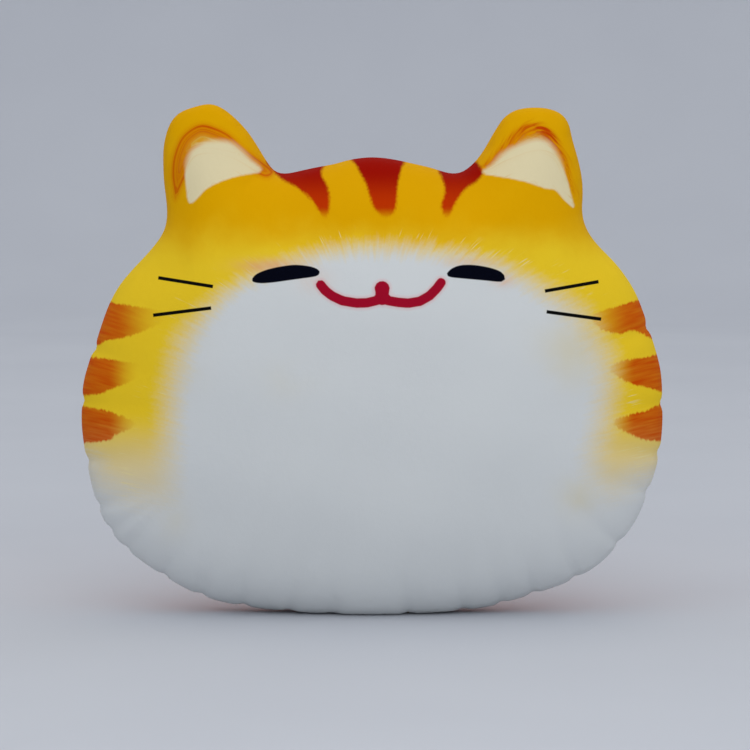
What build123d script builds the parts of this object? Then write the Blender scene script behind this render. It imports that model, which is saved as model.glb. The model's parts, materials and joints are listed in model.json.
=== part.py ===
"""A stuffed cat cushion: two domed cloth panels sewn round their rim, with two soft ears.

The cat stands upright. X is its width, Y its depth with the face towards -Y, Z is up.
The origin is in the middle of the flat patch that it stands on.
"""

import os
from math import cos, hypot, radians, sin

from build123d import *

os.makedirs("parts", exist_ok=True)

# Driving dimensions, in millimetres and degrees
body_half_depth = 82.0
cloth = 2.2
gap = 0.4
roundness = 2.3
centre_height = 150.0
rest_height = 0.0

ear_centre = (116.0, 326.5)
ear_lean = 23.9
ear_half_width = 50.0
ear_half_depth = 16.4
ear_clearance = 1.4
ear_relief = 3.0

allowance_width = 7.0
allowance_thickness = 1.5
thread = 0.9
thread_play = 0.1
stitch_length = 5.0
stitch_pitch = 11.0
closing_half_length = 50.0
closing_pitch = 8.0
closing_reach = 4.0

# The right half of the body's outline, as (x, z), from beside the top to beside the bottom
body_top = 352.6
body_bottom = -6.0
body_side = [
    (40, 349),
    (80, 341.5),
    (120, 327),
    (168, 293),
    (203, 243),
    (221, 190),
    (225, 150),
    (219, 110),
    (200, 66),
    (160, 28),
    (105, 7),
    (50, -3),
]

# The ear's rim, along and above its fold line, from the inner end over the tip to the outer end
ear_rim = [
    (-ear_half_width, 0),
    (-42, 18),
    (-35, 47),
    (-24, 61),
    (-6, 66.5),
    (9, 63.5),
    (26, 44),
    (43, 18),
    (ear_half_width, 0),
]

# How far each section of a dome has shrunk, from the seam to the middle of the panel
section_shares = [1, 0.99, 0.96, 0.9, 0.81, 0.69, 0.54, 0.36, 0.15]

# Where the ear root's profile bends, from its middle to its end
root_shares = [0.15, 0.4, 0.7, 0.9, 0.97, 1]
root_end_radius = 2.0

front = 1
back = -1
right = 1
left = -1


def body_point(x, z, share):
    """A point of the body's outline, drawn in towards the middle of the face."""
    return (x * share, centre_height + (z - centre_height) * share)


def body_outline(share):
    """Every point of the closed body outline, at one size."""
    down = [(x, z) for x, z in body_side]
    up = [(-x, z) for x, z in reversed(body_side)]
    ring = [(0, body_top), *down, (0, body_bottom), *up]
    return [body_point(x, z, share) for x, z in ring]


def ear_point(along, above, side):
    """A point given along and above the fold line of one ear, as (x, z)."""
    lean = radians(ear_lean)
    x = ear_centre[0] + along * cos(lean) + above * sin(lean)
    z = ear_centre[1] - along * sin(lean) + above * cos(lean)
    return (side * x, z)


def ear_outline(share, side):
    """The rim of one ear, at one size."""
    return [ear_point(along * share, above * share, side) for along, above in ear_rim]


def ear_fold_plane(side, depth):
    """The plane through an ear's fold line, this far down inside the body, facing out."""
    x, z = ear_point(0, -depth, side)
    lean = radians(ear_lean)
    return Plane(origin=(x, 0, z), z_dir=(side * sin(lean), 0, cos(lean)))


def ear_axis(side):
    """The fold line of one ear."""
    x, z = ear_point(0, 0, side)
    lean = radians(ear_lean)
    return Axis((x, 0, z), (side * cos(lean), 0, -sin(lean)))


def dome_depth(share, half_depth):
    """How far from the seam plane a section of this size stands."""
    return half_depth * (1 - share**roundness) ** (1 / roundness)


def body_face(share, plane):
    """The body's outline filled in, on one plane."""
    with BuildSketch(plane) as face:
        with BuildLine():
            Spline(*body_outline(share), periodic=True)
        make_face()
    return face.sketch


def ear_face(share, side, plane):
    """One ear's outline filled in, on one plane."""
    with BuildSketch(plane) as face:
        with BuildLine():
            rim = Spline(*ear_outline(share, side))
            Line(rim @ 1, rim @ 0)
        make_face()
    return face.sketch


def body_dome(face_side, size, half_depth, floor):
    """Half of the body, bulging to the front or back of the seam plane, cut flat below."""
    with BuildPart() as dome:
        for share in section_shares:
            away = face_side * dome_depth(share, half_depth)
            add(body_face(share * size, Plane.XZ.offset(away)))
        loft()
        split(bisect_by=Plane.XY.offset(floor), keep=Keep.TOP)
    return dome.part


def ear_dome(face_side, side, size, half_depth):
    """Half of one ear, bulging to the front or back of the seam plane."""
    with BuildPart() as dome:
        for share in section_shares:
            away = face_side * dome_depth(share, half_depth)
            add(ear_face(share * size, side, Plane.XZ.offset(away)))
        loft()
    return dome.part


def root_profile(room):
    """Half of the ear root's profile, from its middle to its end, grown by some room."""
    points = []
    for share in root_shares:
        radius = max(dome_depth(share, ear_half_depth), root_end_radius)
        points.append((share * ear_half_width + room * share, radius + room))
    return points


def ear_root(side, room):
    """A long rounded root, turned half way round an ear's fold line, below the fold."""
    x, z = ear_point(0, 0, side)
    direction = ear_axis(side).direction
    outer = root_profile(room)
    inner = [(-along, radius) for along, radius in reversed(outer)]
    end = outer[-1][0]
    with BuildPart() as root:
        with BuildSketch(Plane(origin=(x, 0, z), x_dir=direction, z_dir=ear_fold_plane(side, 0).z_dir)):
            with BuildLine():
                Polyline((-end, 0), *inner, *outer, (end, 0), close=True)
            make_face()
        revolve(axis=Axis((x, 0, z), -direction), revolution_arc=180)
    return root.part


# Shares of the outline at which the cloth, the stuffing and the seam allowance begin and end
body_half_width = max(x for x, z in body_side)
body_inside = 1 - cloth / body_half_width
body_stuffing = 1 - (cloth + gap) / body_half_width
body_allowance_inside = 1 - (cloth + allowance_width) / body_half_width
body_allowance_room = 1 - (cloth + allowance_width + 1) / body_half_width
body_stitch_share = 1 - (cloth + allowance_width / 2) / body_half_width
ear_inside = 1 - cloth / ear_half_width
ear_allowance_inside = 1 - (cloth + allowance_width) / ear_half_width
ear_stuffing = 1 - (cloth + allowance_width + 1) / ear_half_width
ear_stitch_share = 1 - (cloth + allowance_width / 2) / ear_half_width

allowance_room = allowance_thickness + thread + gap
closing_height = 2 * allowance_width


def stitch_places(points, periodic, pitch):
    """Evenly spaced places along a seam line, each turned to lie along it."""
    with BuildLine(Plane.XZ) as seam:
        Spline(*points, periodic=periodic)
    line = seam.wires()[0]
    count = int(line.length / pitch)
    places = []
    for number in range(count):
        share = (number + 0.5) / count
        place = Plane(origin=line @ share, x_dir=line % share, z_dir=(0, 1, 0))
        places.append(place)
    return places


def on_the_body(place):
    """Whether a stitch there is on the body's own seam, clear of the ears and the flat patch."""
    for side in (left, right):
        x, z = ear_point(0, 0, side)
        if hypot(place.origin.X - x, place.origin.Z - z) < ear_half_width + stitch_length:
            return False
    return place.origin.Z > rest_height + cloth + stitch_length


def above_the_fold(place, side):
    """Whether a stitch there is on an ear, clear of its fold."""
    return ear_fold_plane(side, -stitch_length).to_local_coords(place.origin).Z > 0


body_stitches = []
for place in stitch_places(body_outline(body_stitch_share), True, stitch_pitch):
    if on_the_body(place):
        body_stitches.append(place)

ear_stitches = {}
for side in (left, right):
    places = stitch_places(ear_outline(ear_stitch_share, side), False, stitch_pitch)
    ear_stitches[side] = [place for place in places if above_the_fold(place, side)]

closing_count = int(2 * closing_half_length / closing_pitch)
closing_places = GridLocations(closing_pitch, 0, closing_count, 1)


def body_allowance(face_side):
    """The edge of a body panel that is turned in along the seam, closed below by hand."""
    with BuildPart() as allowance:
        with BuildSketch(Plane.XZ.offset(face_side * allowance_thickness / 2)):
            add(body_face((1 + body_inside) / 2, Plane.XY))
            add(body_face(body_allowance_inside, Plane.XY), mode=Mode.SUBTRACT)
            with Locations((0, closing_height / 2)):
                Rectangle(2 * closing_half_length, closing_height - cloth)
        extrude(amount=allowance_thickness / 2, both=True)
        split(bisect_by=Plane.XY.offset(rest_height + cloth / 2), keep=Keep.TOP)
    return allowance.part


def ear_allowance(face_side, side):
    """The edge of an ear's cloth that is turned in along its rim."""
    with BuildPart() as allowance:
        with BuildSketch(Plane.XZ.offset(face_side * allowance_thickness / 2)):
            add(ear_face((1 + ear_inside) / 2, side, Plane.XY))
            add(ear_face(ear_allowance_inside, side, Plane.XY), mode=Mode.SUBTRACT)
        extrude(amount=allowance_thickness / 2, both=True)
    return allowance.part


def body_groove():
    """The room round the body's seam allowances, which the stuffing leaves free."""
    with BuildPart() as groove:
        with BuildSketch(Plane.XZ):
            Rectangle(4 * body_half_width, 4 * body_half_width)
            add(body_face(body_allowance_room, Plane.XY), mode=Mode.SUBTRACT)
            with Locations((0, closing_height / 2)):
                Rectangle(2 * closing_half_length + 2, closing_height + 1)
        extrude(amount=allowance_room, both=True)
    return groove.part


def opened_for_ears(solid, depth):
    """A body solid cut back below each ear's fold, with a socket for the ear's root."""
    with BuildPart() as opened:
        add(solid)
        for side in (left, right):
            split(bisect_by=ear_fold_plane(side, depth), keep=Keep.BOTTOM)
            add(ear_root(side, ear_clearance), mode=Mode.SUBTRACT)
    return opened.part


def body_panel(face_side):
    """One cloth panel of the body, with the seam allowance that is turned in along its rim."""
    outside = body_dome(face_side, 1, body_half_depth, rest_height)
    inside = body_dome(face_side, body_inside, body_half_depth - cloth, rest_height + cloth)
    holes = [Location(place) for place in body_stitches]
    with BuildPart() as panel:
        add(opened_for_ears(outside, ear_relief))
        add(inside, mode=Mode.SUBTRACT)
        add(opened_for_ears(body_allowance(face_side), ear_relief))
        with Locations(*holes):
            Cylinder(thread / 2 + thread_play, 4 * allowance_thickness, mode=Mode.SUBTRACT)
        with BuildSketch(Plane.XY.offset(rest_height)):
            with closing_places:
                Rectangle(thread + 2 * thread_play, 2 * (closing_reach + thread_play))
        extrude(amount=thread + thread_play, mode=Mode.SUBTRACT)
    return panel.part


def body_stuffing_solid():
    """The fibre that fills the body, with a groove for the seam and a socket for each ear."""
    depth = body_half_depth - cloth - gap
    floor = rest_height + cloth + gap
    groove = body_groove()
    with BuildPart() as stuffing:
        for face_side in (front, back):
            half = opened_for_ears(body_dome(face_side, body_stuffing, depth, floor), ear_relief + gap)
            add(half - groove)
    return stuffing.part


def ear_panel(face_side, side):
    """One cloth face of an ear, with its turned-in seam allowance, open towards the body."""
    with BuildPart() as panel:
        add(ear_dome(face_side, side, 1, ear_half_depth))
        add(ear_dome(face_side, side, ear_inside, ear_half_depth - cloth), mode=Mode.SUBTRACT)
        add(ear_allowance(face_side, side))
        split(bisect_by=ear_fold_plane(side, -gap), keep=Keep.TOP)
        with Locations(*[Location(place) for place in ear_stitches[side]]):
            Cylinder(thread / 2 + thread_play, 4 * allowance_thickness, mode=Mode.SUBTRACT)
    return panel.part


def ear_stuffing_solid(side):
    """The fibre that fills one ear inside its seam, and its rounded root in the body's socket."""
    depth = ear_half_depth - 2 * cloth
    with BuildPart() as stuffing:
        for face_side in (front, back):
            add(ear_dome(face_side, side, ear_stuffing, depth))
        add(ear_root(side, 0))
    return stuffing.part


def seam_stitches(places):
    """A row of stitches: each goes through both allowances and lies along them on both sides."""
    with BuildPart() as row:
        with Locations(*[Location(place) for place in places]):
            Cylinder(thread / 2, 2 * (allowance_thickness + thread / 2))
        for face_side in (front, back):
            away = face_side * (allowance_thickness + (thread + thread_play) / 2)
            with Locations(*[Location(place.offset(away)) for place in places]):
                Box(stitch_length, thread, thread - thread_play)
    return row.part


# The body
front_panel = body_panel(front)
back_panel = body_panel(back)
body_fill = body_stuffing_solid()
body_seam = seam_stitches(body_stitches)

with BuildPart() as closing_stitches:
    with BuildSketch(Plane.XY.offset(rest_height)):
        with closing_places:
            Rectangle(thread, 2 * closing_reach)
    extrude(amount=thread)

pieces = {
    "front_panel": front_panel,
    "back_panel": back_panel,
    "body_fill": body_fill,
    "body_seam_stitches": body_seam,
    "closing_stitches": closing_stitches.part,
}

# The ears
for side, word in ((left, "left"), (right, "right")):
    pieces[word + "_ear_front_panel"] = ear_panel(front, side)
    pieces[word + "_ear_back_panel"] = ear_panel(back, side)
    pieces[word + "_ear_fill"] = ear_stuffing_solid(side)
    pieces[word + "_ear_stitches"] = seam_stitches(ear_stitches[side])

for node, piece in pieces.items():
    piece.label = node
    export_step(piece, f"parts/{node}.step")
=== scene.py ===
"""A plush cat cushion: an inflated two-panel cover with printed fur, its seams and its stuffing.

Lengths in the outline and the print are millimetres, as seen from the front, and turn into metres
in the meshes. X is the cat's width, Y its depth with the face towards -Y, Z is up.
"""

import json
from math import atan

import bpy
import numpy as np
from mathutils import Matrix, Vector
from mathutils.geometry import delaunay_2d_cdt


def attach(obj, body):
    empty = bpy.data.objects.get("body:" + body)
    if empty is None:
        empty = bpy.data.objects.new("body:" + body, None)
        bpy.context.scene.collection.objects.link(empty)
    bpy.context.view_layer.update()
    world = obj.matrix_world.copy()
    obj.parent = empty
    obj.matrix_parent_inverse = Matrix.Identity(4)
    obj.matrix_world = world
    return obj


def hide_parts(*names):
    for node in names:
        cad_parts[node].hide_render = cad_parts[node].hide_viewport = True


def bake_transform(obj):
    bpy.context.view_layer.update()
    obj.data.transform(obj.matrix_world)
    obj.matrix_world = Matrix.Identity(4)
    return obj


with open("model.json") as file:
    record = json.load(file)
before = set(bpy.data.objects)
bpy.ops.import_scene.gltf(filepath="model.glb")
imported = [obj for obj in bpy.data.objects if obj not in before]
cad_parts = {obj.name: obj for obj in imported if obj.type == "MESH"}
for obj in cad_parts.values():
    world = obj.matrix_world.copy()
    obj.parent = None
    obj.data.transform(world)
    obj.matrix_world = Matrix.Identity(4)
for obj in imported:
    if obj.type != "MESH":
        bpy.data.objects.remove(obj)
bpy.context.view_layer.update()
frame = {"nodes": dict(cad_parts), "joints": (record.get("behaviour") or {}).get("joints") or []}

MM = 0.001

# ---------------------------------------------------------------- the view that the print is laid out in
EYE = np.array([2.3, -2600.0, 400.0])
AIM = np.array([2.3, 0.0, 184.8])
FRAME_WIDTH = 580.0

# ---------------------------------------------------------------- the outline of the seam, in millimetres
# Right half, from the middle of the head's top, round the ear and down to the middle of the base
RIGHT_OUTLINE = [
    (0, 352.6), (37.5, 348), (57, 344.2), (66, 344.6), (76, 351), (85.5, 361), (95.5, 374.4),
    (104.5, 385), (114, 390.2), (126, 391.3), (138, 389.6), (147.5, 385), (152.4, 378), (155.2, 366.5),
    (158.8, 354), (162.3, 339), (164, 325), (165.2, 308), (169.5, 295), (177, 284.5), (187.7, 272.5),
    (197, 260), (205, 246), (213, 225), (219.5, 204.6), (223.6, 187), (225, 168), (225, 148),
    (223.6, 131), (220, 113), (214, 95), (206.5, 76), (196, 60), (180, 43), (164, 33), (148, 26),
    (132, 20.8), (112, 15), (90, 9.5), (62, 5), (36, 2),
]
# Left half, from the middle of the base, up and round the ear to the middle of the head's top
LEFT_OUTLINE = [
    (0, 0), (-36, 1.6), (-63.6, 5), (-90, 8.5), (-115.5, 13), (-134, 18.5), (-149, 25), (-164, 33),
    (-178, 41.5), (-191, 51), (-202, 63), (-209, 75), (-214, 88), (-218, 103), (-221, 118),
    (-223.4, 132), (-225, 150), (-223.8, 176), (-219.2, 194.5), (-213.6, 211), (-208.4, 226.5),
    (-202.6, 241), (-195, 254.5), (-186, 266), (-175.8, 278), (-167.5, 289.5), (-162.8, 301),
    (-161.4, 315), (-161.6, 339), (-160.4, 362), (-156.2, 377.5), (-149.5, 386.4), (-138.5, 391.4),
    (-127.5, 394.2), (-118.5, 391.8), (-109, 385.6), (-97.5, 375), (-88.6, 363.8), (-80, 352.4),
    (-72.5, 344.8), (-64, 343), (-37.5, 347.6),
]

# Where the seam is drawn in, with small folds that run from it into the cover
PUCKERS = [
    (-219.6, 119), (-212.6, 84), (-204.9, 64), (-190, 51), (-161.6, 31), (-132, 19), (-99.7, 10),
    (-63.4, 6), (-30, 2), (28, 2), (69.6, 7), (100.5, 13), (124.5, 20), (157, 31), (191, 55),
    (213.4, 95), (222, 125), (222, 163), (-224, 165), (-213, 205), (214, 222),
]
PUCKER_WIDTH = 4.0
PUCKER_DEPTH = 1.9
PUCKER_REACH = 10.0
PUCKER_PINCH = 0.13
PUCKER_PINCH_REACH = 20.0

SPACING = 5.5
BODY_DEPTH = 81.0
ROUNDNESS = 0.48
PUFF_START = 0.74
PUFF_FRAMES = 28
PUFF_PRESSURE = 3.0
RELAXING = 10
SETTLE = 5.0
SOFT_EDGE = 1.0
GROOVE_DEPTH = 2.2
GROOVE_WIDTH = 3.2
PLUMPNESS = 1.6
PLUMP_REACH = 22.0
# The even membrane's share in the depth: in the body, and what the ears add to it
EVEN_SHARE = 0.45
EVEN_SHARE_EARS = 0.35
EARS_START = 230.0
EARS_FULL = 300.0
SETTLE_HEIGHT = 60.0
# A fold in the cloth by the left ear's inner corner: its line, depth and width
CREASES = [([(-79, 344), (-86, 338), (-92, 329), (-94, 318)], 3.0, 3.2)]


def smooth_closed(points, spacing):
    """Points every so far along a Catmull-Rom curve through a closed ring of points."""
    ring = np.array(points, float)
    before, after, beyond = np.roll(ring, 1, 0), np.roll(ring, -1, 0), np.roll(ring, -2, 0)
    shares = np.linspace(0, 1, 24, endpoint=False)
    fine = []
    for a, b, c, d in zip(before, ring, after, beyond):
        for t in shares:
            turn = 2 * b + (c - a) * t + (2 * a - 5 * b + 4 * c - d) * t**2
            fine.append(0.5 * (turn + (3 * b - a - 3 * c + d) * t**3))
    fine = np.array(fine + [fine[0]])
    steps = np.hypot(*np.diff(fine, axis=0).T)
    along = np.concatenate([[0], np.cumsum(steps)])
    count = int(along[-1] / spacing)
    wanted = np.linspace(0, along[-1], count, endpoint=False)
    return np.stack([np.interp(wanted, along, fine[:, 0]), np.interp(wanted, along, fine[:, 1])], 1)


def inside(points, polygon):
    """Whether each point is inside a closed polygon."""
    x, z = points[:, 0], points[:, 1]
    result = np.zeros(len(points), bool)
    for (ax, az), (bx, bz) in zip(polygon, np.roll(polygon, -1, 0)):
        crosses = (az > z) != (bz > z)
        with np.errstate(divide="ignore", invalid="ignore"):
            at = ax + (z - az) * (bx - ax) / (bz - az)
        result ^= crosses & (x < at)
    return result


def distance_to_line(points, line, closed):
    """The distance from each point to a run of straight pieces, and how far along the nearest point is."""
    starts = np.array(line, float)
    ends = np.roll(starts, -1, 0)
    if not closed:
        starts, ends = starts[:-1], ends[:-1]
    best = np.full(len(points), 1e9)
    place = np.zeros(len(points))
    gone = 0.0
    for a, b in zip(starts, ends):
        run = b - a
        length = np.hypot(*run)
        t = np.clip(((points - a) @ run) / max(length**2, 1e-9), 0, 1)
        far = np.hypot(*(points - a - t[:, None] * run).T)
        nearer = far < best
        best = np.where(nearer, far, best)
        place = np.where(nearer, gone + t * length, place)
        gone += length
    return best, place


def depth_inside(points, polygon):
    """How deep inside a closed polygon each point is, negative outside."""
    far, _ = distance_to_line(points, polygon, True)
    return np.where(inside(points, np.array(polygon, float)), far, -far)


# ---------------------------------------------------------------- the cover, as one closed mesh
def flat_panel(ring, spacing):
    """An even triangle mesh filling the ring: its points, the ring's first, and its triangles."""
    low, high = ring.min(0), ring.max(0)
    rows = np.arange(low[1], high[1], spacing * 0.866)
    lattice = []
    for number, z in enumerate(rows):
        shift = spacing / 2 * (number % 2)
        lattice += [(x, z) for x in np.arange(low[0] + shift, high[0], spacing)]
    lattice = np.array(lattice)
    keep = depth_inside(lattice, ring) > 0.6 * spacing
    points = [Vector(p) for p in np.concatenate([ring, lattice[keep]])]
    edges = [(i, (i + 1) % len(ring)) for i in range(len(ring))]
    made = delaunay_2d_cdt(points, edges, [], 1, 1e-4)
    return np.array([tuple(v) for v in made[0]]), [tuple(f) for f in made[2]]


def neighbour_mean(count, triangles):
    """A function that averages a value over each point's neighbours."""
    pairs = set()
    for a, b, c in triangles:
        pairs |= {(a, b), (b, a), (b, c), (c, b), (c, a), (a, c)}
    pairs = np.array(sorted(pairs))
    degree = np.bincount(pairs[:, 0], minlength=count)

    def mean(values):
        """Each point's average over its neighbours."""
        total = np.zeros(values.shape)
        np.add.at(total, pairs[:, 0], values[pairs[:, 1]])
        return total / (degree if values.ndim == 1 else degree[:, None])

    return mean


def swelling(points, triangles, fixed):
    """How an even pressure lifts a membrane that is held at its rim, from 0 to 1."""
    mean = neighbour_mean(len(points), triangles)
    lift = np.zeros(len(points))
    previous = lift
    for step in range(900):
        new = 0.5 * (lift + mean(lift)) + 1
        new[:fixed] = 0
        pushed = new + 0.985 * (new - previous) if step else new
        pushed[:fixed] = 0
        previous = new
        lift = np.maximum(pushed, 0)
    return lift / lift.max()


def seen_frame():
    """The viewing distance, and the view's forward and up directions."""
    to_aim = AIM - EYE
    distance = np.linalg.norm(to_aim)
    forward = to_aim / distance
    return distance, forward, np.cross([1.0, 0.0, 0.0], forward)


def seen(points):
    """Where points in space, in millimetres, fall on the picture plane through the aim."""
    distance, forward, up = seen_frame()
    away = points - EYE
    scale = distance / (away @ forward)
    return np.stack([AIM[0] + away[:, 0] * scale, AIM[2] + (away @ up) * scale], 1)


def on_seam_plane(points):
    """The points of the plane Y = 0 that are seen at these places."""
    distance, forward, up = seen_frame()
    rays = distance * forward + (points[:, :1] - AIM[0]) * [1.0, 0.0, 0.0]
    rays = rays + (points[:, 1:] - AIM[2]) * up
    hits = EYE - rays * (EYE[1] / rays[:, 1:2])
    return hits[:, [0, 2]]


def weld_pillow(points, triangles, fixed, depth):
    """A closed mesh of two panels that share the rim, the front one first, bulging by depth."""
    count = len(points)
    inner = np.arange(fixed, count)
    height = depth * lift**ROUNDNESS
    front = np.stack([points[:, 0], -height, points[:, 1]], 1)
    rear = np.stack([points[inner, 0], height[inner], points[inner, 1]], 1)
    twin = np.concatenate([np.arange(fixed), inner + count - fixed])
    faces = list(triangles) + [(twin[c], twin[b], twin[a]) for a, b, c in triangles]
    return np.concatenate([front, rear]), faces


def mesh_object(name, points, faces):
    """A new object from points in millimetres."""
    mesh = bpy.data.meshes.new(name)
    mesh.from_pydata([tuple(p) for p in np.asarray(points) * MM], [], [tuple(map(int, f)) for f in faces])
    mesh.update()
    obj = bpy.data.objects.new(name, mesh)
    bpy.context.scene.collection.objects.link(obj)
    return obj


def coordinates(mesh):
    """A mesh's points, in millimetres."""
    flat_list = np.zeros(len(mesh.vertices) * 3)
    mesh.vertices.foreach_get("co", flat_list)
    return flat_list.reshape(-1, 3) / MM


def puffed(obj, frames, pressure):
    """The points of a closed cloth after it has been blown up for some frames."""
    modifier = obj.modifiers.new("Cloth", "CLOTH")
    cloth = modifier.settings
    cloth.quality = 6
    cloth.mass = 0.2
    cloth.tension_stiffness = 25
    cloth.compression_stiffness = 15
    cloth.shear_stiffness = 8
    cloth.bending_stiffness = 0.05
    cloth.tension_damping = 12
    cloth.compression_damping = 12
    cloth.shear_damping = 8
    cloth.air_damping = 2
    cloth.use_pressure = True
    cloth.uniform_pressure_force = pressure
    cloth.effector_weights.gravity = 0
    modifier.collision_settings.use_collision = False
    modifier.point_cache.frame_start = 1
    modifier.point_cache.frame_end = frames
    for number in range(1, frames + 1):
        bpy.context.scene.frame_set(number)
    graph = bpy.context.evaluated_depsgraph_get()
    blown = obj.evaluated_get(graph).to_mesh()
    points = coordinates(blown)
    obj.evaluated_get(graph).to_mesh_clear()
    obj.modifiers.remove(modifier)
    bpy.context.scene.frame_set(1)
    return points


def relaxed(points, faces, fixed):
    """The points with their sharpest creases eased, the seam's left alone."""
    mean = neighbour_mean(len(points), faces)
    for _ in range(RELAXING):
        middle = mean(points)
        middle[:fixed] = points[:fixed]
        points = 0.5 * (points + middle)
    return points


def smoothed_ring(values, reach):
    """Values round a closed ring, averaged over about this many neighbours each way."""
    count = len(values)
    offsets = np.arange(count)
    offsets = np.minimum(offsets, count - offsets)
    weights = np.exp(-0.5 * (offsets / reach) ** 2)
    spectrum = np.fft.rfft(weights / weights.sum())
    return np.fft.irfft(np.fft.rfft(values, axis=0) * spectrum[:, None], count, axis=0)


def spread_from_rim(rim_values, count, triangles, fixed):
    """Values given on the rim, carried smoothly across the panel."""
    mean = neighbour_mean(count, triangles)
    field = np.zeros((count, rim_values.shape[1]))
    field[:] = rim_values.mean(0)
    field[:fixed] = rim_values
    for _ in range(500):
        field = mean(field)
        field[:fixed] = rim_values
    return field


def ramp(value, low, high):
    """A smooth step from 0 at low to 1 at high."""
    t = np.clip((value - low) / (high - low), 0, 1)
    return t * t * (3 - 2 * t)


def fitted(points, seam, triangles, count, fixed):
    """The blown-up cover with its seam brought back to its outline, its depth set, stood on the floor."""
    slip = seam - points[:fixed][:, [0, 2]]
    field = spread_from_rim(smoothed_ring(slip, 5.0), count, triangles, fixed)
    both = np.concatenate([field, field[fixed:]])
    result = points.copy()
    result[:, 0] += both[:, 0]
    result[:, 2] += both[:, 1]
    membrane = lift**ROUNDNESS
    side = np.sign(result[:, 1])
    blown = np.abs(result[:, 1]) / np.abs(result[:, 1]).max()
    even = np.concatenate([membrane, membrane[fixed:]])
    share = EVEN_SHARE + EVEN_SHARE_EARS * ramp(result[:, 2], EARS_START, EARS_FULL)
    result[:, 1] = side * BODY_DEPTH * ((1 - share) * blown + share * even)
    settled = result[:, 2] - SETTLE * (1 - ramp(result[:, 2], 0, SETTLE_HEIGHT))
    result[:, 2] = 0.5 * (settled + np.sqrt(settled**2 + 4 * SOFT_EDGE**2))
    return result


# ---------------------------------------------------------------- details of the seam
def rim_scallops(along, total, far):
    """How strongly the cover is drawn in at each place along and away from the seam, from 0 to 1."""
    drawn = np.zeros(len(along))
    for spot in on_seam_plane(np.array(PUCKERS, float)):
        _, place = distance_to_line(spot[None], rim, True)
        gap = np.abs(along - place[0])
        gap = np.minimum(gap, total - gap)
        drawn = np.maximum(drawn, np.exp(-((gap / (PUCKER_WIDTH + 0.16 * far)) ** 2)))
    return drawn


def subdivided(obj, fixed):
    """The object's mesh after one subdivision that keeps the seam sharp."""
    crease = obj.data.attributes.new("crease_edge", "FLOAT", "EDGE")
    on_rim = [all(v < fixed for v in edge.vertices) for edge in obj.data.edges]
    crease.data.foreach_set("value", np.array(on_rim, np.float32))
    modifier = obj.modifiers.new("Subdivision", "SUBSURF")
    modifier.levels = 1
    modifier.render_levels = 1
    graph = bpy.context.evaluated_depsgraph_get()
    return bpy.data.meshes.new_from_object(obj.evaluated_get(graph))


rim = on_seam_plane(smooth_closed(RIGHT_OUTLINE + LEFT_OUTLINE, SPACING))
RIM_COUNT = len(rim)
flat, triangles = flat_panel(rim, SPACING)
FLAT_COUNT = len(flat)
lift = swelling(flat, triangles, RIM_COUNT)


def coarse_cover():
    """The blown-up cover before its fine detail: an object whose first points are the seam's."""
    points, faces = weld_pillow(flat, triangles, RIM_COUNT, PUFF_START * BODY_DEPTH)
    cloth = mesh_object("cloth", points, faces)
    points = puffed(cloth, PUFF_FRAMES, PUFF_PRESSURE)
    bpy.data.objects.remove(cloth)
    points = relaxed(points, faces, RIM_COUNT)
    points = fitted(points, rim, triangles, FLAT_COUNT, RIM_COUNT)
    cover = mesh_object("cover", points, faces)
    rear = cover.data.attributes.new("rear", "INT", "FACE")
    rear.data.foreach_set("value", np.repeat([0, 1], len(triangles)).astype(np.int32))
    at = np.concatenate([flat, flat[RIM_COUNT:]])
    layout = cover.data.attributes.new("flat_at", "FLOAT_VECTOR", "POINT")
    spot = np.stack([at[:, 0], np.zeros(len(at)), at[:, 1]], 1)
    layout.data.foreach_set("vector", spot.astype(np.float32).ravel())
    return cover


def rim_facts(at):
    """Distance from the seam, place along it, and the direction away from it, for flat points."""
    far, along = distance_to_line(at, rim, True)
    steps = np.hypot(*(np.roll(rim, -1, 0) - rim).T)
    starts = np.concatenate([[0], np.cumsum(steps)])
    tangent = (np.roll(rim, -1, 0) - np.roll(rim, 1, 0))
    tangent /= np.hypot(*tangent.T)[:, None]
    inward = np.stack([tangent[:, 1], -tangent[:, 0]], 1)
    inward = np.concatenate([inward, inward[:1]])
    away = [np.interp(along, starts, inward[:, axis]) for axis in (0, 1)]
    return far, along, starts[-1], np.stack(away, 1)


def detailed(points, at):
    """The fine cover's points with the seam's groove, its puckers and a little unevenness."""
    far, along, total, away = rim_facts(at)
    drawn = rim_scallops(along, total, far)
    pull = GROOVE_DEPTH * np.exp(-((far / GROOVE_WIDTH) ** 2))
    pull = pull + PUCKER_DEPTH * drawn * np.exp(-far / PUCKER_REACH)
    pull = pull - PLUMPNESS * np.exp(-far / PLUMP_REACH)
    result = points.copy()
    result[:, 0] += away[:, 0] * pull
    result[:, 2] += away[:, 1] * pull
    result[:, 1] *= 1 - PUCKER_PINCH * drawn * np.exp(-far / PUCKER_PINCH_REACH)
    x, z = at[:, 0] / 1000, at[:, 1] / 1000
    uneven = sin_waves(x, z) * ramp(far, 0, 60)
    result[:, 1] += np.sign(result[:, 1]) * uneven
    for line, depth, width in CREASES:
        away_from, place = distance_to_line(at, line, False)
        fade = 1 - place / place.max()
        fold = depth * fade * np.exp(-((away_from / width) ** 2)) * ramp(far, 0, 4)
        result[:, 1] += np.where(result[:, 1] < 0, fold, 0)
    result[:, 2] = np.maximum(result[:, 2], 0.02)
    return result


def sin_waves(x, z):
    """Slow swells of the stuffing under the cloth, in millimetres."""
    swell = 0.9 * np.sin(31 * x + 1.3) * np.sin(27 * z + 0.4)
    swell += 0.5 * np.sin(57 * x - 38 * z + 2.1)
    return swell + 0.35 * np.sin(83 * z + 21 * x + 0.7)


# ---------------------------------------------------------------- the ears' folds, from the frame
JOINTS = {joint["child"]: joint for joint in frame["joints"]}
FOLD_START = 9.0
EAR_MARGIN = 3.0
CLOTH = 1.8
EAR_INNER_X = 42.0


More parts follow.
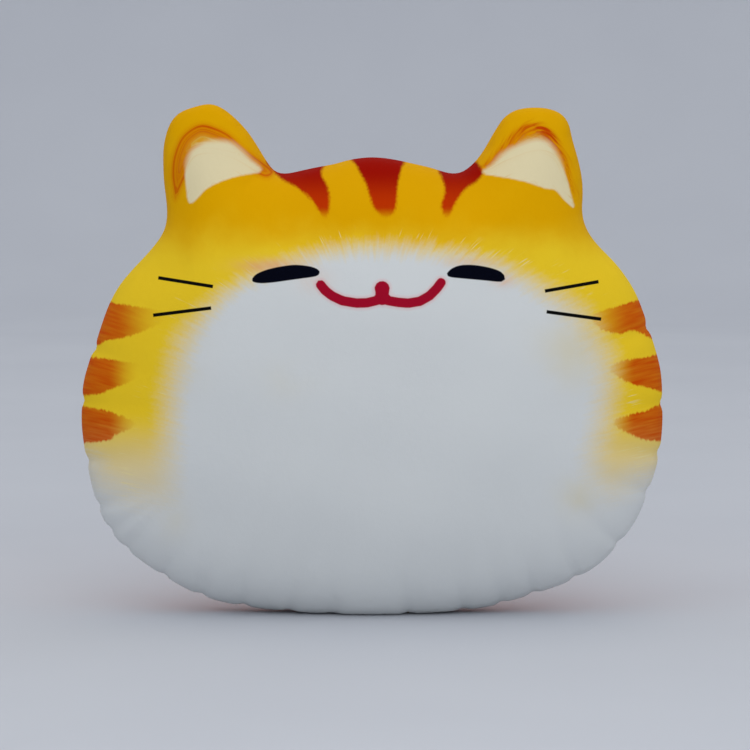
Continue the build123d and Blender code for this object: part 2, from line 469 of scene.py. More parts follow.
def fold_of(ear):
    """An ear's side, the middle of its fold, and the direction from the fold to its tip, in X and Z."""
    joint = JOINTS[ear]
    middle = np.array([joint["pos_m"][0], joint["pos_m"][2]]) / MM
    axis = np.array([joint["axis"][0], joint["axis"][2]])
    side = 1 if middle[0] > 0 else -1
    return side, middle, np.array([-axis[1], axis[0]])


def in_ear(at, ear):
    """Whether each place in X and Z belongs to the ear's own piece of cloth."""
    side, middle, out = fold_of(ear)
    above = (at - middle) @ out > -FOLD_START - EAR_MARGIN
    return above & (at[:, 0] * side > EAR_INNER_X)


def bend_with(obj):
    """Bakes the piece's placement into its mesh; nothing here makes it bend about the ear's fold."""
    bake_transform(obj)


# ---------------------------------------------------------------- the pieces of the cover
class Shell:
    """A mesh of equal-sided faces as arrays: points in millimetres, flat places, faces, and their side."""

    def __init__(self, mesh):
        """Reads a mesh that carries its flat places and its side."""
        self.points = coordinates(mesh)
        spots = np.zeros(len(mesh.vertices) * 3, np.float32)
        mesh.attributes["flat_at"].data.foreach_get("vector", spots)
        self.at = spots.reshape(-1, 3)[:, [0, 2]].astype(float)
        rear = np.zeros(len(mesh.polygons), np.int32)
        mesh.attributes["rear"].data.foreach_get("value", rear)
        self.rear = rear.astype(bool)
        corners = np.zeros(len(mesh.loops), np.int32)
        mesh.loops.foreach_get("vertex_index", corners)
        self.faces = corners.reshape(len(mesh.polygons), -1)

    def normals(self, chosen):
        """Each point's outward direction, from the chosen faces alone."""
        faces = self.faces[chosen]
        a, b, c, d = (self.points[faces[:, corner]] for corner in (0, 1, 2, -1))
        direction = np.cross(c - a, d - b)
        total = np.zeros(self.points.shape)
        for corner in faces.T:
            np.add.at(total, corner, direction)
        length = np.linalg.norm(total, axis=1)
        return total / np.maximum(length, 1e-9)[:, None]

    def cloth(self, name, chosen, values, normals, thickness):
        """A closed object from the chosen faces, this thick inwards, with values painted on its points."""
        used, outer = self.alone(chosen)
        count = len(used)
        inner = outer[:, ::-1] + count
        rims = [(b, a, a + count, b + count) for a, b in open_edges(outer)]
        depth = self.points[used] - thickness * normals[used]
        obj = mesh_object(name, np.concatenate([self.points[used], depth]), [*outer, *inner, *rims])
        for key, value in values.items():
            kind = "FLOAT" if value.ndim == 1 else "FLOAT_VECTOR"
            layer = obj.data.attributes.new(key, kind, "POINT")
            field = "value" if value.ndim == 1 else "vector"
            twice = np.concatenate([value[used], value[used]])
            layer.data.foreach_set(field, twice.astype(np.float32).ravel())
        obj.data.shade_smooth()
        both = np.concatenate([normals[used], -normals[used]])
        obj.data.normals_split_custom_set_from_vertices([tuple(n) for n in both])
        return obj

    def alone(self, chosen):
        """The points that the chosen faces use, and those faces by their places among these points."""
        faces = self.faces[chosen]
        used, local = np.unique(faces, return_inverse=True)
        return used, local.reshape(faces.shape)

    def filling(self, name, chosen):
        """A closed object from the chosen faces, with a cap over each hole."""
        used, outer = self.alone(chosen)
        points = list(self.points[used])
        caps = []
        for loop in loops(open_edges(outer)):
            caps += [(b, a, len(points)) for a, b in loop]
            points.append(np.mean([points[a] for a, _ in loop], axis=0))
        obj = mesh_object(name, points, [*outer, *caps])
        obj.data.shade_smooth()
        return obj


def open_edges(faces):
    """The edges that only one face has, as that face runs along them."""
    runs = {(f[i - 1], f[i]) for f in faces.tolist() for i in range(len(f))}
    return [run for run in sorted(runs) if (run[1], run[0]) not in runs]


def loops(edges):
    """Edges sorted into closed loops."""
    onward = dict(edges)
    found = []
    while onward:
        start = place = next(iter(onward))
        loop = []
        while place in onward:
            after = onward.pop(place)
            loop.append((place, after))
            place = after
        if place == start:
            found.append(loop)
    return found


EARS = ("left_ear", "right_ear")


def owners(shell):
    """For each face, the body that it belongs to."""
    centres = shell.points[:, [0, 2]][shell.faces].mean(1)
    owner = np.full(len(shell.faces), "body", dtype=object)
    for ear in EARS:
        owner[in_ear(centres, ear)] = ear
    return owner


def cover_pieces(shell, front_values, rear_values):
    """The front and the back of the cover, each in three pieces: body, left ear and right ear."""
    owner = owners(shell)
    made = {}
    for rear, word, values in ((False, "front", front_values), (True, "back", rear_values)):
        half = shell.rear == rear
        normals = shell.normals(half)
        for part in ("body", *EARS):
            name = f"{part}_{word}_cover"
            made[part, word] = shell.cloth(name, half & (owner == part), values, normals, CLOTH)
    return made


# ---------------------------------------------------------------- the print on the front
# Closed shapes and lines in millimetres, as they are seen from the front
WHITE_AREA = [
    (-270, 124), (-219.6, 119), (-210, 105), (-195, 96), (-179, 91), (-160, 96), (-159, 119),
    (-158, 145), (-155, 177), (-144, 214), (-124, 238), (-108, 252), (-90, 262), (-62, 273),
    (-32.5, 281), (2, 284), (38, 282), (75, 276), (106, 266), (134, 250), (160, 233), (176, 208),
    (184, 185), (181, 150), (173, 114), (186, 97), (213, 109), (270, 116), (270, -80), (-270, -80),
]
BROW_STRIPES = {
    "left": [
        (-80, 352), (-36, 356), (-39, 341), (-35, 332), (-32.5, 321), (-34, 309), (-37, 305),
        (-41, 311), (-47, 320), (-57, 329), (-71, 337),
    ],
    "middle": [
        (-23, 362), (27, 362), (23, 344), (19.8, 332), (19.3, 319), (17, 310), (9.8, 306.5),
        (1.5, 314), (-2.6, 325.7), (-7, 337), (-13, 347),
    ],
    "right": [
        (44, 362), (72, 356), (86, 343), (81.3, 334.7), (72, 328), (64.3, 317.7), (58, 305.5),
        (53.5, 315.5), (56, 327), (53.6, 338), (49, 347),
    ],
}
SIDE_STRIPES = {
    "left_high": [
        (-230, 246), (-197, 240), (-172, 236), (-157, 230), (-176, 219), (-192.5, 213.5),
        (-206, 211), (-230, 203),
    ],
    "left_middle": [
        (-240, 198), (-209.5, 198), (-198, 196), (-172, 192), (-180, 183), (-201, 174),
        (-213, 170), (-240, 170),
    ],
    "left_low": [
        (-240, 161), (-207, 157.5), (-198, 154.6), (-182, 147), (-197, 139), (-208, 133.5),
        (-240, 134),
    ],
    "right_high": [
        (232, 247), (203, 242), (190, 238), (170, 231), (176, 221), (192, 216.5), (203, 219), (232, 209),
    ],
    "right_middle": [
        (240, 203), (210, 198), (196, 196.5), (183, 190), (196, 180), (211, 175.5), (240, 171),
    ],
    "right_low": [
        (240, 168), (213, 157.5), (202, 155), (186, 148), (201, 138.5), (216, 134), (240, 137),
    ],
}
EAR_CREAM = {
    "left": [
        (-141, 357), (-134, 363), (-126, 366), (-111, 365.5), (-102, 360), (-94, 352), (-85, 342.5),
        (-102, 338.8), (-116, 334.6), (-128, 328.5), (-140.6, 317), (-144, 331), (-144.4, 345),
    ],
    "right": [
        (85, 341), (93, 348), (102, 357.5), (115, 364), (126.7, 367.5), (135, 366), (141, 360),
        (146, 350), (151, 336), (154.5, 322), (156.5, 313.5), (149, 319.5), (142, 327.5), (134, 329),
        (121, 333.5), (106, 336.8), (95.6, 338.6),
    ],
}
# Shaded orange round the inside of each ear: first the edge away from the cream
EAR_BANDS = {
    "left": [
        (-152, 318), (-156, 332), (-156.8, 344), (-155, 356), (-149.5, 369), (-141, 377), (-132, 380.5),
        (-122, 378.5), (-109.5, 372.5), (-97.7, 361.5), (-78, 347), (-74, 341), (-84, 336), (-110, 350),
        (-134, 352), (-143, 336),
    ],
    "right": [
        (83, 345.5), (91, 354), (100, 363.7), (108, 373), (116, 379), (126.7, 381), (134.5, 379),
        (140.5, 373.5), (146, 365.5), (150.5, 357), (153.8, 347), (156, 337), (158, 322), (151, 332),
        (143, 352), (128, 358), (104, 350), (90, 343),
    ],
}
LEFT_EYE = [
    (-93, 257.6), (-90.5, 262), (-85, 265), (-78, 267.2), (-69, 269), (-60, 270), (-51.5, 269.4),
    (-45, 268), (-40.6, 265.3), (-41.6, 262), (-46, 260.6), (-56, 259.2), (-66, 257.8),
    (-77, 256.3), (-87, 255.8),
]
RIGHT_EYE = [
    (57.6, 262.6), (61.4, 267), (68, 269.6), (77, 270), (86, 268.9), (94, 267), (100, 264.4),
    (103, 260.4), (101.6, 257.3), (97, 256.9), (88, 257.8), (77, 258.8), (66, 259.8), (60.4, 260.6),
]
MOUTH_LEFT = [
    (-39.8, 254.6), (-36.4, 250.2), (-31, 246), (-23, 242.2), (-12, 240.4), (-4, 240.6), (2.6, 242.2),
    (7.8, 243.6),
]
MOUTH_RIGHT = [
    (7.8, 243.6), (13, 242.2), (20, 241), (28, 240.3), (37, 241.8), (44.5, 246), (50, 251.6),
    (53.4, 256.2),
]
MOUTH_HALF_WIDTH = 3.7
NOSE = (7.8, 251.6)
NOSE_RADIUS = 5.9
NOSE_FOOT = [(7.8, 251), (7.8, 244)]
NOSE_FOOT_HALF_WIDTH = 5.2
WHISKERS = [
    ((-165.3, 260), (-123, 253.2)),
    ((-169.3, 231), (-124.4, 236.6)),
    ((133.7, 249.7), (175.2, 257)),
    ((135, 233.7), (177.2, 228)),
]
WHISKER_HALF_WIDTH = 1.35
# Soft patches: each has its middle, half width, half height and strength
BLOTS = [
    (158, 205, 26, 26, 0.5), (160, 90, 16, 14, 0.5), (-158, 80, 14, 18, 0.35), (-66, 183, 22, 16, 0.12),
    (-140, 205, 14, 30, 0.3),
]
EYE_BLUSH = [
    (-80, 269, 22, 5.5, 0.9), (-44, 258, 12, 9, 0.25), (78, 272, 22, 4, 0.35), (101, 258, 8, 5, 0.5),
]
EAR_SHADE = [(137, 372, 14, 13, 1.0), (-126, 379, 12, 8, 0.45)]
# The back's stripes reach further in than the front's
BACK_TOP = 352.0
BROW_REACH = 0.55
BACK_SIDE = 225.0
SIDE_REACH = 0.6


def deepest(at, shapes):
    """How deep each point is inside any of the shapes, negative outside."""
    return np.max([depth_inside(at, smooth_closed(shape, 2.5)) for shape in shapes.values()], axis=0)


def stroke_depth(at, line, half_width):
    """How deep each point is inside a round-ended stroke."""
    far, _ = distance_to_line(at, line, False)
    return half_width - far


def hair_flow(at):
    """Across and along the way the fur lies: up from the face, and out at its sides."""
    x, z = at[:, 0], np.maximum(at[:, 1], 0)
    spread = ((z + 40) / 325) ** 4
    across = 60 * np.arcsinh(x / (60 * spread))
    return np.stack([across, np.hypot(x, z - 120), np.zeros(len(at))], 1)


def blots(at, spots):
    """Soft patches, from 0 to 1."""
    total = np.zeros(len(at))
    for x, z, width, height, share in spots:
        total += share * np.exp(-(((at[:, 0] - x) / width) ** 2) - ((at[:, 1] - z) / height) ** 2)
    return total


def front_print(at):
    """Everything that is printed on the front, as values on points seen at these places."""
    x, z = np.abs(at[:, 0]), at[:, 1]
    at_side = ramp(x, 95, 165)
    softness = 11 + 7 * at_side
    tip = 156 + 22 * (1 - ramp(z, 198, 208))
    mouth_lines = [stroke_depth(at, line, MOUTH_HALF_WIDTH) for line in (MOUTH_LEFT, MOUTH_RIGHT)]
    nose = NOSE_RADIUS - np.hypot(at[:, 0] - NOSE[0], z - NOSE[1])
    eyes = [depth_inside(at, smooth_closed(shape, 1)) for shape in (LEFT_EYE, RIGHT_EYE)]
    foot = stroke_depth(at, NOSE_FOOT, NOSE_FOOT_HALF_WIDTH)
    run = np.min([distance_to_line(at, line, True)[1] for line in EAR_BANDS.values()], axis=0)
    cream_softness = 1.2 + 2.6 * ramp(z, 338, 352)
    return {
        "coat": -depth_inside(at, smooth_closed(WHITE_AREA, 6)) / softness,
        "tufting": 0.6 - 0.3 * at_side,
        "deep": ramp(z, 262, 318),
        "coat_strength": 1 - 0.6 * at_side * (1 - ramp(z, 92, 158)),
        "brow": deepest(at, BROW_STRIPES),
        "brow_tone": ramp(z, 316, 343),
        "brow_ink": ramp(z, 303, 315),
        "side": deepest(at, SIDE_STRIPES),
        "side_ink": ramp(x, tip, tip + 44 - 0.8 * (tip - 156)),
        "ear_cream": deepest(at, EAR_CREAM) / cream_softness,
        "ear_band": deepest(at, EAR_BANDS),
        "ear_run": run,
        "ear_shade": blots(at, EAR_SHADE),
        "eye": np.max(eyes, axis=0),
        "mouth": np.max([*mouth_lines, nose, foot], axis=0),
        "blush": blots(at, EYE_BLUSH),
        "blots": blots(at, BLOTS),
        "hair": hair_flow(at),
        "print_at": np.stack([at[:, 0], z, np.zeros(len(at))], 1),
    }


def rear_print(points, at):
    """The stripes on the back, which run on over the top and round the sides, and reach further in."""
    x, z = points[:, 0], points[:, 2]
    far, _ = distance_to_line(at, rim, True)
    top = BACK_TOP - (BACK_TOP - z) * BROW_REACH
    out = np.sign(x) * (BACK_SIDE - (BACK_SIDE - np.abs(x)) * SIDE_REACH)
    return {
        "brow": deepest(np.stack([x, top], 1), BROW_STRIPES),
        "brow_ink": ramp(top, 303, 315),
        "side": deepest(np.stack([out, z], 1), SIDE_STRIPES),
        "side_ink": ramp(np.abs(out), 160, 200),
        "inner": ramp(far + 0.5 * np.maximum(170 - z, 0), 8, 105),
        "hair": hair_flow(points[:, [0, 2]]),
    }


# ---------------------------------------------------------------- materials
def display(red, green, blue):
    """A colour given as display values from 0 to 255, as linear light."""
    parts = [c / 255 for c in (red, green, blue)]
    return tuple(c / 12.92 if c < 0.04 else ((c + 0.055) / 1.055) ** 2.4 for c in parts) + (1.0,)


class Shading:
    """A material's nodes, built by short calls that each give an output."""

    def __init__(self, name, roughness, sheen=0.0):
        """A new material with a plain shader."""
        self.material = bpy.data.materials.new(name)
        self.material.use_nodes = True
        self.tree = self.material.node_tree
        self.shader = self.tree.nodes["Principled BSDF"]
        self.shader.inputs["Roughness"].default_value = roughness
        self.shader.inputs["Specular IOR Level"].default_value = 0.03
        self.shader.inputs["Sheen Weight"].default_value = sheen
        self.shader.inputs["Sheen Roughness"].default_value = 0.5

    def node(self, kind, *values, output=0, **settings):
        """A new node with its inputs linked or set in order, and its settings."""
        made = self.tree.nodes.new("ShaderNode" + kind)
        for key, value in settings.items():
            setattr(made, key, value)
        for socket, value in zip(made.inputs, values):
            self.feed(socket, value)
        return made.outputs[output]

    def feed(self, socket, value):
        """Links an output to a socket, or sets the socket's own value."""
        if isinstance(value, bpy.types.NodeSocket):
            self.tree.links.new(value, socket)
        elif value is not None:
            socket.default_value = value

    def painted(self, name, vector=False):
        """A value painted on the mesh's points."""
        return self.node("Attribute", attribute_name=name, output=1 if vector else 2)

    def place(self):
        """The place on the object, in metres."""
        return self.node("TexCoord", output=3)

    def sum(self, a, b):
        """Two values added."""
        return self.node("Math", a, b, operation="ADD")

    def times(self, a, b):
        """Two values multiplied."""
        return self.node("Math", a, b, operation="MULTIPLY")

    def stretch(self, vector, factors):
        """A place with each axis scaled."""
        return self.node("VectorMath", vector, factors, operation="MULTIPLY")

    def noise(self, vector, scale, detail=2.0):
        """Smooth noise from about 0.2 to 0.8."""
        return self.node("TexNoise", vector, None, scale, detail)

    def signed_noise(self, vector, scale, strength, detail=2.0):
        """Smooth noise about zero."""
        return self.times(self.sum(self.noise(vector, scale, detail), -0.5), 2 * strength)

    def step(self, value, low, high):
        """A smooth step from 0 at low to 1 at high."""
        return self.node("MapRange", value, low, high, 0.0, 1.0, interpolation_type="SMOOTHSTEP")

    def mixed(self, share, under, over):
        """A colour over another, by a share from 0 to 1."""
        made = self.tree.nodes.new("ShaderNodeMix")
        made.data_type = "RGBA"
        for name, value in (("Factor_Float", share), ("A_Color", under), ("B_Color", over)):
            self.feed(next(s for s in made.inputs if s.identifier == name), value)
        return next(s for s in made.outputs if s.identifier == "Result_Color")

    def finish(self, colour, height=None, distance=0.0005, strength=0.5):
        """Gives the shader its colour and its relief."""
        self.feed(self.shader.inputs["Base Color"], colour)
        if height is not None:
            bump = self.tree.nodes.new("ShaderNodeBump")
            bump.inputs["Distance"].default_value = distance
            bump.inputs["Strength"].default_value = strength
            self.feed(bump.inputs["Height"], height)
            self.feed(self.shader.inputs["Normal"], bump.outputs[0])
        return self.material


WHITE = display(217, 220, 220)
YELLOW = display(242, 204, 40)
DEEP_YELLOW = display(229, 168, 0)
PALE_FUR = display(236, 220, 160)
BEIGE = display(222, 208, 160)
SIDE_ORANGE = display(206, 74, 2)
SIDE_FADE = display(214, 140, 14)
BROW_RED = display(156, 0, 0)
BROW_ORANGE = display(192, 48, 0)
EAR_ORANGE = display(214, 116, 0)
EAR_RUST = display(196, 66, 0)
EAR_GOLD = display(222, 172, 66)
EAR_CREAM_COLOUR = display(232, 218, 176)
EYE_BLACK = display(5, 7, 20)
WHISKER_BLACK = display(10, 11, 10)
MOUTH_RED = display(164, 14, 42)
MOUTH_GLOW = display(228, 176, 178)
EYE_GLOW = display(232, 172, 124)
BACK_ORANGE = display(200, 84, 14)
BACK_RED = display(146, 16, 2)
# The seam thread's warm mid-tone, darker than the cloth: partly the thread's own colour, partly painted
# shade of the seam's crevice
THREAD_AND_CREVICE_SHADE = display(190, 152, 84)
FIBRE = display(236, 238, 240)


def whisker_share(shading, at):
    """How much of a whisker's ink each place has: four straight lines with square ends."""
    total = 0.0
    for start, end in WHISKERS:
        run = np.array(end) - start
        length = np.hypot(*run)
        along = tuple(run / length) + (0.0,)
        across = (-along[1], along[0], 0.0)
        middle = tuple((np.array(start) + end) / 2) + (0.0,)
        away = shading.node("VectorMath", at, middle, operation="SUBTRACT")
        shares = []
        for direction, half in ((along, length / 2), (across, WHISKER_HALF_WIDTH)):
            place = shading.node("VectorMath", away, direction, operation="DOT_PRODUCT", output=1)
            far = shading.node("Math", place, operation="ABSOLUTE")
            shares.append(shading.step(far, half + 0.3, half - 0.3))
        total = shading.sum(total, shading.times(*shares))
    return total


def pile(shading):
    """The relief of short brushed plush, as a height."""
    place = shading.place()
    fibres = shading.noise(place, 1500.0, 2.0)
    tufts = shading.noise(place, 260.0, 3.0)
    waves = shading.noise(place, 45.0, 2.0)
    both = shading.sum(shading.times(fibres, 0.35), shading.times(tufts, 0.5))
    return shading.sum(both, shading.times(waves, 1.2))


def front_plush():
    """The printed front cloth: a white face below a striped yellow coat."""
    s = Shading("front_plush", 0.95, sheen=0.008)
    at = s.painted("print_at", vector=True)
    hair = s.painted("hair", vector=True)
    coat = s.painted("coat")
    broad = s.noise(at, 0.022, 3.0)
    fine = s.signed_noise(at, 0.45, 1.0)
    streaks = s.signed_noise(s.stretch(hair, (0.36, 0.036, 1.0)), 1.0, 1.0, 2.0)
    teeth = s.signed_noise(s.stretch(at, (0.5, 0.16, 1.0)), 1.0, 1.8, 1.0)

    white = s.mixed(s.times(s.painted("blots"), s.step(broad, 0.3, 0.7)), WHITE, BEIGE)
    deep = s.sum(s.painted("deep"), s.signed_noise(at, 0.03, 0.35, 3.0))
    yellow = s.mixed(s.step(deep, 0.0, 1.0), YELLOW, DEEP_YELLOW)
    edge = s.sum(coat, s.times(streaks, s.painted("tufting")))
    edge = s.sum(edge, s.times(fine, 0.2))
    share = s.times(s.step(edge, -1.15, 1.0), s.painted("coat_strength"))
    colour = s.mixed(share, white, yellow)

    strand = s.noise(s.stretch(hair, (0.75, 0.05, 1.0)), 1.0, 1.0)
    strand = s.step(strand, 0.6, 0.7)
    tuft = s.step(s.noise(at, 0.045, 1.0), 0.5, 0.62)
    near = s.times(s.step(coat, -0.6, 0.3), s.step(coat, 1.7, 0.7))
    colour = s.mixed(s.times(s.times(strand, tuft), s.times(near, 0.7)), colour, PALE_FUR)

    side = s.step(s.sum(s.painted("side"), teeth), -1.0, 1.2)
    side_ink = s.painted("side_ink")
    side_colour = s.mixed(side_ink, SIDE_FADE, SIDE_ORANGE)
    mottle = s.sum(0.9, s.times(streaks, 0.25))
    colour = s.mixed(s.times(s.times(side, side_ink), mottle), colour, side_colour)

    brow_edge = s.sum(s.painted("brow"), s.times(s.sum(fine, streaks), 1.2))
    brow = s.times(s.step(brow_edge, -1.6, 2.0), s.painted("brow_ink"))
    brow_colour = s.mixed(s.painted("brow_tone"), BROW_ORANGE, BROW_RED)
    colour = s.mixed(s.times(brow, 0.99), colour, brow_colour)

    band = s.painted("ear_band")
    ear_run = s.painted("ear_run")
    skewed = s.sum(s.times(band, 0.5), s.times(ear_run, 0.1))
    run = s.node("CombineXYZ", skewed, s.times(ear_run, 0.05), 0.0)
    strokes = s.signed_noise(run, 1.0, 1.0, 2.0)
    shade = s.painted("ear_shade")
    rusty = s.sum(shade, s.times(strokes, 1.2))
    inner = s.step(s.sum(band, s.times(strokes, 7.0)), 7.0, 14.0)
    band_colour = s.mixed(inner, s.mixed(rusty, EAR_ORANGE, EAR_RUST), EAR_GOLD)
    band_edge = s.sum(band, s.times(strokes, 3.0))
    laid = s.sum(0.82, s.times(strokes, 0.9))
    colour = s.mixed(s.times(s.step(band_edge, -2.0, 4.5), laid), colour, band_colour)
    cream_edge = s.sum(s.painted("ear_cream"), s.times(strokes, 0.7))
    cream = s.mixed(s.times(s.step(strokes, 0.0, 0.6), 0.5), EAR_CREAM_COLOUR, EAR_GOLD)
    cream = s.mixed(s.step(s.painted("ear_cream"), 0.5, 3.5), cream, EAR_CREAM_COLOUR)
    colour = s.mixed(s.step(cream_edge, -0.8, 0.9), colour, cream)

    eye, mouth = s.painted("eye"), s.painted("mouth")
    glow = s.times(s.painted("blush"), s.sum(0.8, s.times(streaks, 0.6)))
    colour = s.mixed(glow, colour, EYE_GLOW)
    colour = s.mixed(s.times(s.step(mouth, -3.2, -0.2), 0.45), colour, MOUTH_GLOW)
    colour = s.mixed(s.step(mouth, -0.4, 0.4), colour, MOUTH_RED)
    colour = s.mixed(s.step(eye, -0.4, 0.4), colour, EYE_BLACK)
    colour = s.mixed(whisker_share(s, at), colour, WHISKER_BLACK)
    return s.finish(colour, pile(s))


def back_plush():
    """The back cloth: an orange coat with darker stripes."""
    s = Shading("back_plush", 0.95, sheen=0.008)
    place = s.place()
    hair = s.painted("hair", vector=True)
    broad = s.noise(place, 22.0, 3.0)
    fine = s.signed_noise(place, 450.0, 1.0)
    streaks = s.signed_noise(s.stretch(hair, (0.36, 0.036, 1.0)), 1.0, 1.0)
    inner = s.sum(s.painted("inner"), s.sum(s.times(broad, 0.6), s.times(streaks, 0.12)))
    coat = s.mixed(s.step(inner, 0.3, 1.2), DEEP_YELLOW, BACK_ORANGE)
    wander = s.times(s.sum(fine, streaks), 1.4)
    side = s.times(s.step(s.sum(s.painted("side"), wander), -1.5, 1.5), s.painted("side_ink"))
    brow = s.times(s.step(s.sum(s.painted("brow"), wander), -1.5, 1.5), s.painted("brow_ink"))
    colour = s.mixed(s.times(side, 0.95), coat, BACK_RED)
    colour = s.mixed(s.times(brow, 0.95), colour, BACK_RED)
    return s.finish(colour, pile(s))


def fibre_fill():
    """Loose polyester fibre, in curls and clumps."""
    s = Shading("fibre_fill", 0.95, sheen=0.4)
    place = s.place()
    curls = s.node("TexNoise", place, None, 420.0, 3.0, 0.6, 2.0, None, None, 2.5)
    clumps = s.noise(place, 60.0, 3.0)
    colour = s.mixed(s.step(curls, 0.3, 0.7), display(214, 217, 220), FIBRE)
    return s.finish(colour, s.sum(curls, clumps), 0.002, 0.8)


def seam_thread():
    """Twisted polyester sewing thread, in warm mid-tones darker than the cloth: partly its own colour,
    partly painted shade of the seam's crevice.
    """
    s = Shading("seam_thread", 0.6, sheen=0.1)
    place = s.place()
    twist = s.node("TexWave", place, 900.0, 3.0, 2.0)
    # Both tones are darkened so that the thread also paints the shade in the seam's crevice
    colour = s.mixed(s.step(twist, 0.2, 0.8), display(150, 116, 60), THREAD_AND_CREVICE_SHADE)
    return s.finish(colour, twist, 0.0001, 0.6)


# ---------------------------------------------------------------- the stuffing and the threads
STUFFING_GAP = 3.4
LUMPS = 0.6
# The stuffing stands further back from the cloth at the ears' folds
FOLD_SLACK = 6.0
FOLD_SLACK_AT = 2.0
FOLD_SLACK_WIDTH = 16.0
FOLD_SLACK_INNER = (30.0, 60.0)
THREAD_RADIUS = 0.28
STITCH_LENGTH = 2.6
STITCH_PITCH = 3.5
STITCH_SIDES = 6


def stuffing_pieces(cover):
    """The fibre inside the cover, in three closed pieces."""
    shell = Shell(cover.data)
    shell.points = detailed(shell.points, shell.at)
    normals = shell.normals(np.ones(len(shell.faces), bool))
    x, y, z = (shell.points / 1000).T
    lumps = np.sin(190 * x + 40 * y) * np.sin(170 * z + 1) + 0.6 * np.sin(310 * (x + z) - 90 * y)
    spots = shell.points[:, [0, 2]]
    gap = STUFFING_GAP + LUMPS * lumps
    for ear in EARS:
        side, middle, out = fold_of(ear)
        near = np.exp(-((((spots - middle) @ out - FOLD_SLACK_AT) / FOLD_SLACK_WIDTH) ** 2))
        gap += FOLD_SLACK * near * ramp(spots[:, 0] * side, *FOLD_SLACK_INNER)
    shell.points = shell.points - gap[:, None] * normals
    owner = owners(shell)
    return {part: shell.filling(f"{part}_stuffing", owner == part) for part in ("body", *EARS)}


def seam_line(shell):
    """The seam's points in order round the rim."""
    far, along = distance_to_line(shell.at, rim, True)
    chosen = np.flatnonzero(far < 0.02)
    return shell.points[chosen[np.argsort(along[chosen])]]


def stitch(middle, ahead, out):
    """One stitch's points and faces: a thread that comes up out of the seam and goes down again."""
    across = np.cross(ahead, out)
    points, faces = [], []
    rings = np.linspace(-1, 1, 5)
    for ring in rings:
        centre = middle + ahead * ring * STITCH_LENGTH / 2 - out * THREAD_RADIUS * (0.8 + ring**2)
        for side in range(STITCH_SIDES):
            turn = 2 * np.pi * side / STITCH_SIDES
            points.append(centre + THREAD_RADIUS * (np.cos(turn) * out + np.sin(turn) * across))
    for ring in range(len(rings) - 1):
        for side in range(STITCH_SIDES):
            a, b = ring * STITCH_SIDES + side, ring * STITCH_SIDES + (side + 1) % STITCH_SIDES
            faces.append((a, b, b + STITCH_SIDES, a + STITCH_SIDES))
    last = (len(rings) - 1) * STITCH_SIDES
    faces.append(tuple(range(STITCH_SIDES))[::-1])
    faces.append(tuple(range(last, last + STITCH_SIDES)))
    return points, faces


def thread_pieces(shell):
    """The stitches of the seam, in three pieces."""
    line = seam_line(shell)
    steps = np.linalg.norm(np.roll(line, -1, 0) - line, axis=1)
    along = np.concatenate([[0], np.cumsum(steps)])
    count = int(along[-1] / STITCH_PITCH)
    lists = {part: ([], []) for part in ("body", *EARS)}
    for number in range(count):
        place = along[-1] * number / count
        index = np.searchsorted(along, place, side="right") - 1
        share = (place - along[index]) / steps[index]
        after = (index + 1) % len(line)
        middle = (1 - share) * line[index] + share * line[after]
        ahead = (line[after] - line[index]) / steps[index]
        out = np.cross(ahead, [0.0, 1.0, 0.0])
        middle[2] = max(middle[2], 2 * THREAD_RADIUS)
        spot = middle[None, [0, 2]]
        part = next((ear for ear in EARS if in_ear(spot, ear)[0]), "body")
        points, faces = lists[part]
        new_points, new_faces = stitch(middle, ahead, out)
        faces += [tuple(i + len(points) for i in face) for face in new_faces]
        points += new_points
    made = {part: mesh_object(f"{part}_seam_thread", *both) for part, both in lists.items()}
    for obj in made.values():
        obj.data.shade_smooth()
    return made


# ---------------------------------------------------------------- the whole cat
def belongs(obj, part, material, slot, *nodes):
    """A piece takes its material, the body's pieces go onto the body's frame, and the CAD nodes it stands
    for are hidden; the slot is not used.
    """
    obj.data.materials.append(material)
    if part == "body":
        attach(obj, "body")
    else:
        bend_with(obj)
    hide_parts(*nodes)


def node_of(part, kind):
    """The CAD node's name for the body's or an ear's panel, fill or stitches."""
    body_names = {
        "front": "front_panel", "back": "back_panel", "fill": "body_fill", "stitches": "body_seam_stitches",
    }
    if part == "body":
        return body_names[kind]
    return f"{part}_{kind}_panel" if kind in ("front", "back") else f"{part}_{kind}"


cover = coarse_cover()
fibre = fibre_fill()
for part, obj in stuffing_pieces(cover).items():
    belongs(obj, part, fibre, "fibre_fill", node_of(part, "fill"))

shell = Shell(subdivided(cover, RIM_COUNT))
bpy.data.objects.remove(cover)
shell.points = detailed(shell.points, shell.at)
cloths = {"front": front_plush(), "back": back_plush()}
covers = cover_pieces(shell, front_print(seen(shell.points)), rear_print(shell.points, shell.at))
for (part, word), obj in covers.items():
    belongs(obj, part, cloths[word], f"{word}_plush", node_of(part, word))

thread = seam_thread()
for part, obj in thread_pieces(shell).items():
    belongs(obj, part, thread, "seam_thread", node_of(part, "stitches"))
closing = frame["nodes"]["closing_stitches"]
closing.data.materials.clear()
closing.data.materials.append(thread)


# ---------------------------------------------------------------- the floor, the light and the camera
FLOOR_RADIUS = 3.4
FLOOR_RINGS = (0.06, 0.24, 0.42, 0.6)
WALL_CURVE = 1.2
WALL_HEIGHT = 1.9
AROUND = 96


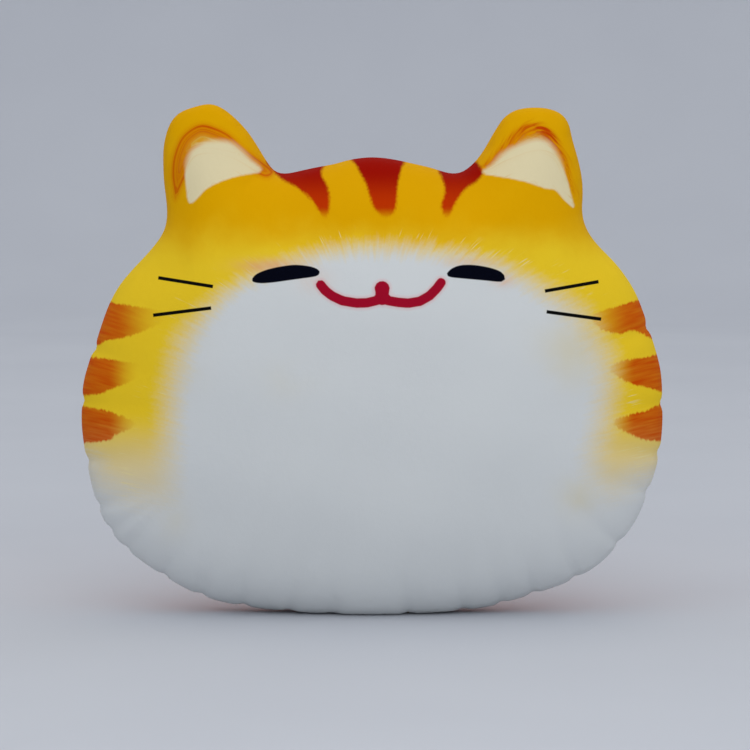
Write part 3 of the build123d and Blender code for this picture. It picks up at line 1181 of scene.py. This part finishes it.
def backdrop():
    """A pale round floor that curves up into a wall all round."""
    turns = np.linspace(0, np.pi / 2, 16)
    profile = [(share * FLOOR_RADIUS, 0.0) for share in FLOOR_RINGS]
    profile += [(FLOOR_RADIUS + WALL_CURVE * np.sin(t), WALL_CURVE * (1 - np.cos(t))) for t in turns]
    profile.append((FLOOR_RADIUS + WALL_CURVE, WALL_HEIGHT))
    angles = np.linspace(0, 2 * np.pi, AROUND, endpoint=False)
    points = [(r * np.cos(a) / MM, r * np.sin(a) / MM, z / MM) for r, z in profile for a in angles]
    faces = [tuple(range(AROUND))]
    for ring in range(len(profile) - 1):
        for i in range(AROUND):
            a, b = ring * AROUND + i, ring * AROUND + (i + 1) % AROUND
            faces.append((a, b, b + AROUND, a + AROUND)[::-1])
    obj = mesh_object("backdrop", points, faces)
    obj.data.shade_smooth()
    s = Shading("backdrop", 0.9)
    soft = s.noise(s.place(), 3.0, 2.0)
    obj.data.materials.append(s.finish(s.mixed(soft, display(196, 199, 207), display(204, 207, 214))))


def soft_light(name, place, aim, size, watts, colour):
    """A square area light that faces a point."""
    light = bpy.data.lights.new(name, "AREA")
    light.shape = "SQUARE"
    light.size = size
    light.energy = watts
    light.color = colour
    obj = bpy.data.objects.new(name, light)
    obj.location = place
    obj.rotation_euler = (Vector(aim) - Vector(place)).to_track_quat("-Z", "Y").to_euler()
    bpy.context.scene.collection.objects.link(obj)


def surroundings(colour, strength):
    """Even light from all round."""
    world = bpy.data.worlds.new("surroundings")
    world.use_nodes = True
    world.node_tree.nodes["Background"].inputs[0].default_value = colour
    world.node_tree.nodes["Background"].inputs[1].default_value = strength
    bpy.context.scene.world = world


def camera():
    """The camera that looks at the cat from slightly above, in front."""
    data = bpy.data.cameras.new("camera")
    data.sensor_fit = "HORIZONTAL"
    data.angle = 2 * atan(FRAME_WIDTH / 2 / np.linalg.norm(AIM - EYE))
    obj = bpy.data.objects.new("camera", data)
    obj.location = EYE * MM
    obj.rotation_euler = Vector((AIM - EYE) * MM).to_track_quat("-Z", "Y").to_euler()
    bpy.context.scene.collection.objects.link(obj)
    bpy.context.scene.camera = obj


backdrop()
surroundings((0.96, 0.98, 1.0, 1.0), 0.88)
soft_light("overhead", (0.0, 0.0, 1.9), (0, 0.0, 0.1), 1.4, 1.0, (1.0, 0.99, 0.98))
soft_light("front_fill", (0.3, -1.7, 0.6), (0, 0, 0.15), 1.0, 5.5, (0.98, 0.99, 1.0))
camera()
bpy.context.scene.view_settings.view_transform = "Standard"
